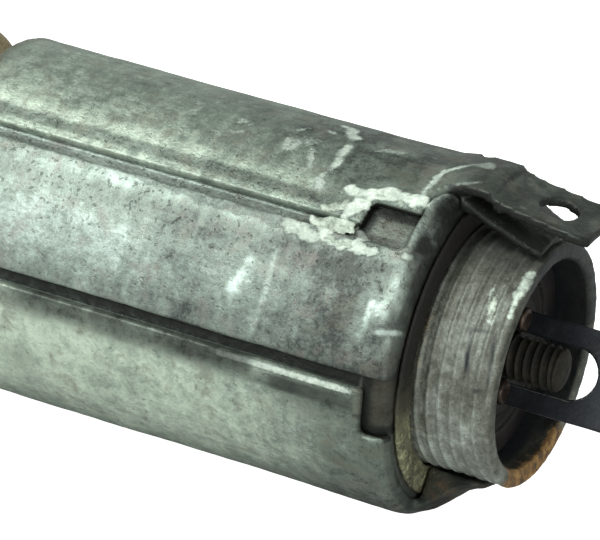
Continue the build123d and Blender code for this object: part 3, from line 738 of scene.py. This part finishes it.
def solder_lumps(material):
    """Solder run over the upper cut-out, as a chain of lumps melted into one another."""
    random = np.random.default_rng(7)
    trail_per_lump = 0.030           # square mm of trail that each lump has to cover
    work = bmesh.new()
    for width, sink, path in SOLDER_TRAILS:
        for start, end in zip(path, path[1:]):
            reach = math.hypot(end[0] - start[0], math.radians(end[1] - start[1]) * SHELL_R)
            for _ in range(int(reach * width / trail_per_lump) + 2):
                add_lump(work, random, start, end, width, sink)
    bmesh.ops.scale(work, vec=(MM, MM, MM), verts=work.verts)
    mesh = bpy.data.meshes.new("solder_lumps")
    work.to_mesh(mesh)
    work.free()
    piece = new_piece("solder_lumps", remeshed(mesh, SOLDER_VOXEL))
    surface = Surface(piece)
    push(piece, surface, 0.06 * cloud(surface.points, 0.5, 3, seed=61))
    piece.data.materials.append(material)
    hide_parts("solder_fillet")
    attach(piece, "clamping_shell")


# ---------------------------------------------------------------- threads
def neck_outline():
    """Outline of the neck as (x, radius) points, with a rounded rim and even rows for the thread."""
    rim = NECK_REAR
    outline = [(NECK_FLANGE, NECK_BORE), (NECK_FLANGE, 10.85), (39.0, 10.85), (39.0, 11.35),
               (FLANGE_REAR, 11.35)]
    outline += [(x, NECK_R) for x in runs(FLANGE_REAR + 0.02, rim - 0.42, 0.07)]
    outline += [(rim - 0.30, 9.93), (rim - 0.16, 9.88), (rim - 0.05, 9.78), (rim, 9.6), (rim, 9.3),
                (rim, 9.0), (rim - 0.06, 8.75), (rim - 0.25, NECK_MOUTH)]
    outline += [(x, NECK_MOUTH) for x in runs(rim - 0.4, MOUTH_STEP, 0.3)]
    outline += [(x, NECK_BORE) for x in runs(MOUTH_STEP, NECK_FLANGE + 0.3, 0.6)]
    return outline


def cut_neck(x, r, theta):
    """Cut the thread into the neck's outside, shallower at both ends and worn unevenly round it."""
    threaded = (r > NECK_R - 0.01) & (x < NECK_REAR - 0.3)
    worn = 0.86 + 0.14 * math.sin(theta * 2 + 0.6)
    depth = NECK_DEPTH * np.clip((x - FLANGE_REAR) / 0.8, 0, 1) * np.clip((NECK_REAR - x) / 0.9, 0.35, 1)
    return np.where(threaded, r - depth * (1 - worn * ridge(x, NECK_PITCH, theta)), r)


def neck_marks(piece, s, outside):
    """Store the neck's crests, lightness with painted shade, painted highlights and pale patches, rust, and
    dark marks that are mostly painted shade.
    """
    crest = ease(s.radius, NECK_R - 0.24, NECK_R - 0.05) * outside
    inside = ease(-s.radius, -NECK_MOUTH - 0.15, -NECK_MOUTH + 0.05)
    near_side = ease(-np.abs(s.angle), -165, -105)
    # Painted shade: darker next to the shell, on the top under the earth tab and in the bore; lighter low on
    # the near side.
    tone = along(s.x, NECK_TONE)
    tone += (0.26 * ease(-s.angle, -12, 35) - 0.16 * ease(s.angle, 50, 75)) * near_side
    tone = tone * (1 - inside) + 0.05 * inside
    rim_face = ease(s.facing_rear, 0.3, 0.7)
    bright = np.zeros(len(s.x))
    # Painted highlights on the rim's chamfer.
    for strength, outer, inner, path in RIM_HIGHLIGHTS:
        bright = np.maximum(bright, strength * ease(-s.near(path, NECK_R), -outer, -inner) * outside)
    bright = np.maximum(bright, 0.52 * ease(-s.near(THREAD_RUB, NECK_R), -0.75, -0.15))
    rust = 0.95 * ease(s.x, 52.9, 53.7) * ease(-s.angle, 44, 60) * ease(s.angle, -135, -115)
    rust = np.maximum(rust, 0.50 * inside * ease(s.x, 51.5, 53) * ease(-np.abs(s.angle + 85), -45, -15))
    rust = np.maximum(rust, 0.45 * ease(-s.x, -48.6, -47.2) * outside * (s.angle < 40))
    frame_mark = s.near([(50.9, 34.5), (52.8, 36.0), (53.5, 10.0), (51.7, 7.5), (50.9, 34.5)], NECK_R)
    soot = (0.50 + 0.30 * cloud(s.points, 1.5, 2, seed=77)) * ease(-frame_mark, -0.55, -0.05) * outside
    # Painted shade on the neck's top and rim face under the tab, next to the shell and in the bore.
    soot = np.maximum(soot, 0.55 * ease(s.angle, 48, 72) * outside * (1 - bright))
    soot = np.maximum(soot, 0.70 * rim_face * ease(s.angle, 35, 70))
    soot = np.maximum(soot, 0.40 * ease(-s.x, -48.4, -46.8) * outside)
    bore_soot = 0.78 + 0.20 * ease(-s.x, -52.8, -51.0)
    soot = np.maximum(soot, inside * bore_soot * (1 - 0.6 * ease(rust, 0.1, 0.4)))
    far_wall = outside * (np.abs(s.angle) > FAR_LOW) * ease(s.x, 48, 50) * ease(-s.angle, -160, -120)
    soot = np.maximum(soot, far_wall * (0.50 + 0.30 * cloud(s.points, 1.2, 3, seed=75)))
    paint_marks(piece, crest=crest, tone=tone, bright=bright, rust=rust, soot=soot)


def neck_thread(material):
    """The neck with a true helical thread, worn and knocked about, and a dressed rim."""
    piece = lathe("neck_thread", neck_outline(), 420, cut_neck)
    surface = Surface(piece)
    outside = ease(surface.facing_out, -0.1, 0.3)
    knocks = 0.07 * np.minimum(cloud(surface.points, 1.3, 3, seed=71) + 0.3, 0)
    knocks += 0.03 * cloud(surface.points, 0.5, 2, seed=72)
    push(piece, surface, knocks * (0.3 + 0.7 * outside))
    neck_marks(piece, surface, outside)
    piece.data.materials.append(material)
    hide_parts("threaded_neck")
    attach(piece, "receptacle")


def stud_thread(material):
    """The centre contact: its broad head in front and a helical thread with a domed end behind."""
    front, rear, head_r = STUD_HEAD
    outline = [(front, 0.02), (front, 2.2), (front + 0.1, 2.5), (front + 0.4, head_r - 0.1),
               (front + 0.5, head_r), (rear, head_r), (rear, STUD_R)]
    outline += [(x, STUD_R) for x in runs(rear + 0.3, STUD_THREAD, 0.5)]
    outline += [(x, STUD_R) for x in runs(STUD_THREAD + 0.04, STUD_REAR - 0.6, 0.04)]
    dome = [(STUD_REAR - 0.55 + 0.55 * math.sin(a), 0.15 + (STUD_R - 0.3) * math.cos(a))
            for a in np.linspace(0.1, 1.45, 9)]
    outline += dome + [(STUD_REAR, 0.02)]

    def cut(x, r, theta):
        threaded = (x > STUD_THREAD) & (x < STUD_REAR - 0.59) & (r > STUD_R - 0.01)
        return np.where(threaded, r - STUD_DEPTH * (1 - ridge(x, STUD_PITCH, theta)), r)

    piece = lathe("stud_thread", outline, 120, cut)
    surface = Surface(piece)
    push(piece, surface, 0.025 * cloud(surface.points, 0.6, 3, seed=81) - 0.03)
    piece.data.materials.append(material)
    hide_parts("contact_stud")
    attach(piece, "receptacle")


def skinned(node, name, body, material, voxel, rough, edge=None, painted_shade=None):
    """A small part with softened edges and a slightly uneven skin, up to 'rough' mm deep.

    'edge' is the tilt at which an edge is rubbed bare; the last argument gives the two angles between which
    painted shade rises.
    """
    piece = dense_copy(node, name, voxel)
    surface = Surface(piece)
    push(piece, surface, rough * cloud(surface.points, 1.5, 3, seed=len(name)) - rough * 0.5)
    if edge:
        tilt = 1 - np.max(np.abs(surface.normals), axis=1)
        paint_marks(piece, edge=ease(tilt, 0.1, edge))
    if painted_shade:
        paint_marks(piece, soot=0.95 * ease(surface.angle, *painted_shade))
    piece.data.materials.append(material)
    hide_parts(node)
    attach(piece, body)


# ---------------------------------------------------------------- camera, floor and light
CAMERA_PLACE = Vector((0.1788, -0.31187, 0.16791))
CAMERA_AZIMUTH = math.radians(25.154)
CAMERA_ELEVATION = math.radians(25.701)
CAMERA_ROLL = math.radians(4.659)
LENS = 289.985            # mm
SENSOR = 36.0             # mm
FLOOR_HALF = 1.5          # half the floor's side, metres
HORIZON_GLOW, OVERHEAD_GLOW = 0.95, 0.28
SKY_TOP = 0.7             # height on the sky's unit ball where the overhead glow is reached
SKY_COLOUR = (0.94, 1.0, 0.965, 1)
LIGHTS = [                # name, place and side in metres, watts and colour of each soft box
    ("key", (-0.12, -0.20, 0.36), 0.16, 1.5, (0.95, 1.0, 0.96)),
    ("front", (-0.17, -0.36, 0.20), 0.07, 0.35, (0.90, 0.96, 1.0)),
    ("fill", (0.34, -0.24, 0.10), 0.25, 0.35, (1.0, 0.98, 0.95)),
]


def make_camera():
    """The camera stands behind the object, to its right and above, and is rolled a little."""
    data = bpy.data.cameras.new("camera")
    data.lens = LENS
    data.sensor_width = SENSOR
    data.clip_start = 0.01
    data.clip_end = 10.0
    camera = bpy.data.objects.new("camera", data)
    bpy.context.scene.collection.objects.link(camera)
    aim = Euler((math.pi / 2 - CAMERA_ELEVATION, 0, CAMERA_AZIMUTH)).to_matrix()
    camera.matrix_world = (Matrix.Translation(CAMERA_PLACE)
                           @ (aim @ Matrix.Rotation(CAMERA_ROLL, 3, "Z")).to_4x4())
    bpy.context.scene.camera = camera


def make_floor():
    """A pale floor that touches the socket's lowest point."""
    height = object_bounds()[0][2]
    sides = ((-1, -1), (1, -1), (1, 1), (-1, 1))
    corners = [(FLOOR_HALF * x, FLOOR_HALF * y, height) for x, y in sides]
    mesh = bpy.data.meshes.new("floor")
    mesh.from_pydata(corners, [], [(0, 1, 2, 3)])
    floor = bpy.data.objects.new("floor", mesh)
    bpy.context.scene.collection.objects.link(floor)
    mesh.materials.append(studio_floor())


def soft_light(name, place, size, watts, colour):
    """A square soft box that faces the middle of the socket."""
    data = bpy.data.lights.new(name, "AREA")
    data.size = size
    data.energy = watts
    data.color = colour
    lamp = bpy.data.objects.new(name, data)
    bpy.context.scene.collection.objects.link(lamp)
    lamp.location = place
    aim = Vector((0.03, 0, 0)) - Vector(place)
    lamp.rotation_euler = aim.to_track_quat("-Z", "Y").to_euler()


def make_world():
    """Pale surroundings, brightest at the horizon and dimmer overhead."""
    world = bpy.data.worlds.new("world")
    world.use_nodes = True
    tree = world.node_tree
    background = tree.nodes["Background"]
    place = tree.nodes.new("ShaderNodeTexCoord")
    split = tree.nodes.new("ShaderNodeSeparateXYZ")
    tree.links.new(place.outputs["Generated"], split.inputs[0])
    fade = tree.nodes.new("ShaderNodeMapRange")
    tree.links.new(split.outputs["Z"], fade.inputs["Value"])
    fade.inputs["From Min"].default_value = 0.0
    fade.inputs["From Max"].default_value = SKY_TOP
    fade.inputs["To Min"].default_value = HORIZON_GLOW
    fade.inputs["To Max"].default_value = OVERHEAD_GLOW
    tree.links.new(fade.outputs["Result"], background.inputs["Strength"])
    background.inputs["Color"].default_value = SKY_COLOUR
    bpy.context.scene.world = world
    bpy.context.scene.view_settings.view_transform = "Standard"


# ---------------------------------------------------------------- build
sleeve_zinc = weathered_zinc("sleeve_zinc", (0.050, 0.060, 0.050), (0.25, 0.30, 0.25), (0.64, 0.74, 0.61),
                             (0.19, 0.185, 0.15))
cup_zinc = weathered_zinc("cup_zinc", (0.055, 0.062, 0.055), (0.26, 0.31, 0.27), (0.63, 0.74, 0.68),
                          (0.19, 0.175, 0.155))
neck_steel = worn_thread("neck_steel")
olive = passivated("ring_nut_zinc")
rust_steel = rusted("rusty_steel")
black = blackened("black_terminal")
brass = tarnished("rivet_brass", (0.020, 0.014, 0.012), (0.085, 0.060, 0.048), (0.30, 0.22, 0.175))
clip_brass = tarnished("clip_brass", (0.12, 0.08, 0.03), (0.50, 0.36, 0.15), (0.85, 0.70, 0.40))
bimetal = tarnished("bimetal", (0.09, 0.07, 0.06), (0.42, 0.34, 0.25), (0.72, 0.62, 0.46))
well_steel = tarnished("drawn_steel", (0.10, 0.095, 0.085), (0.36, 0.35, 0.32), (0.66, 0.66, 0.62), lines=0.6)
bezel_plate = tarnished("plated_brass", (0.09, 0.055, 0.022), (0.36, 0.27, 0.13), (0.66, 0.60, 0.42),
                        lines=0.5)
board = phenolic("phenolic")

shell_piece("outer_sleeve", "sleeve_skin", sleeve_zinc)
shell_piece("clamp_cup", "cup_skin", cup_zinc)
solder_lumps(old_solder("solder"))
neck_thread(neck_steel)
stud_thread(rust_steel)
# The ring nut darkens with painted shade towards the top, in the recess between the shell's rear wall and the
# neck.
skinned("ring_nut", "ring_nut_skin", "clamping_nut", olive, 0.18, 0.03,
        painted_shade=(-35, 20))
skinned("blade_terminal", "blade_skin", "receptacle", black, 0.13, 0.02, edge=0.3)
skinned("terminal_rivets", "rivet_heads", "receptacle", brass, 0.1, 0.03)
skinned("terminal_board", "board_skin", "receptacle", board, 0.16, 0.02)

KEPT = {                  # CAD nodes that are shown as they are, and the material of each
    "bezel_ring": bezel_plate, "well_tube": well_steel, "floor_plate": well_steel, "front_insulator": board,
    "rear_insulator": board, "contact_plate": clip_brass, "lock_washer": rust_steel, "stud_nut": rust_steel,
    "link_nut": rust_steel, "terminal_link": clip_brass, "bimetal_clip_1": bimetal, "bimetal_clip_2": bimetal,
    "bimetal_clip_3": bimetal, "earth_finger_1": well_steel, "earth_finger_2": well_steel,
}
for node, material in KEPT.items():
    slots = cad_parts[node].data.materials
    slots.clear()
    slots.append(material)

make_camera()
make_floor()
make_world()
for light in LIGHTS:
    soft_light(*light)
